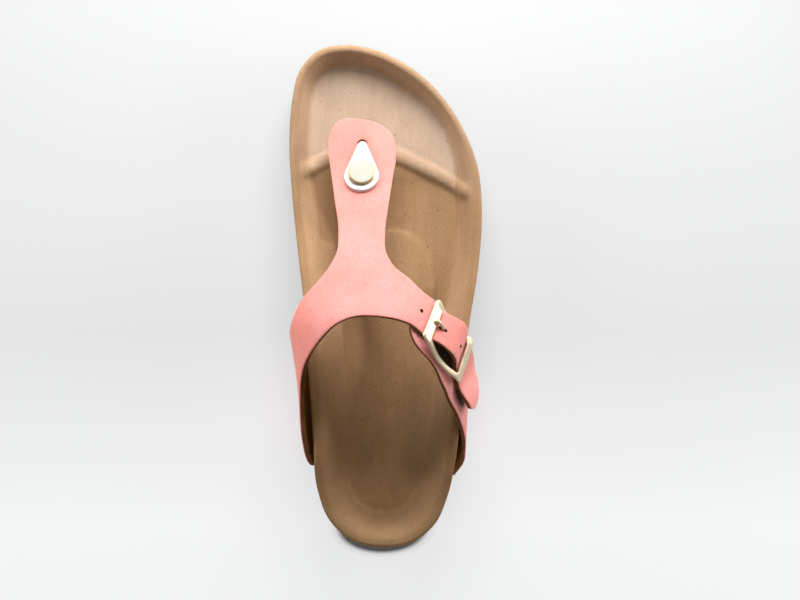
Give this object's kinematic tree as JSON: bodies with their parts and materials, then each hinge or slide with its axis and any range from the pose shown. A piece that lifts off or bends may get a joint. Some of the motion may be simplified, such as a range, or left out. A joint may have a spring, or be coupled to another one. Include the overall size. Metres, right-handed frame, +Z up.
{
  "type": "toe post sandal",
  "caption": "Right toe post sandal with a moulded cork footbed on a foam outsole, a T-shaped thong strap, a pin-buckled side strap and a riveted plastic toe post.",
  "frame": {"origin": "centre of the box around the sandal, on the floor it stands on", "axes": "+Y towards the toe, +X towards the outer (little toe) side, +Z up"},
  "size_m": [0.0976, 0.2525, 0.0773],
  "materials": {
    "outsole_foam": "matte brown foam",
    "footbed_cork": "pressed cork granules",
    "insole_suede": "napped tan suede",
    "strap_felt": "pale coral felted strap with a brown lining",
    "post_plastic": "white moulded plastic",
    "pale_gold": "satin pale gold"
  },
  "bodies": {
    "root": {"outsole": "outsole_foam", "footbed": "footbed_cork", "insole": "insole_suede", "thong_strap": "strap_felt", "buckle_strap": "strap_felt", "toe_post": "post_plastic", "post_rivet": "pale_gold", "buckle_frame": "pale_gold", "buckle_prong": "pale_gold"}
  },
  "joints": []
}
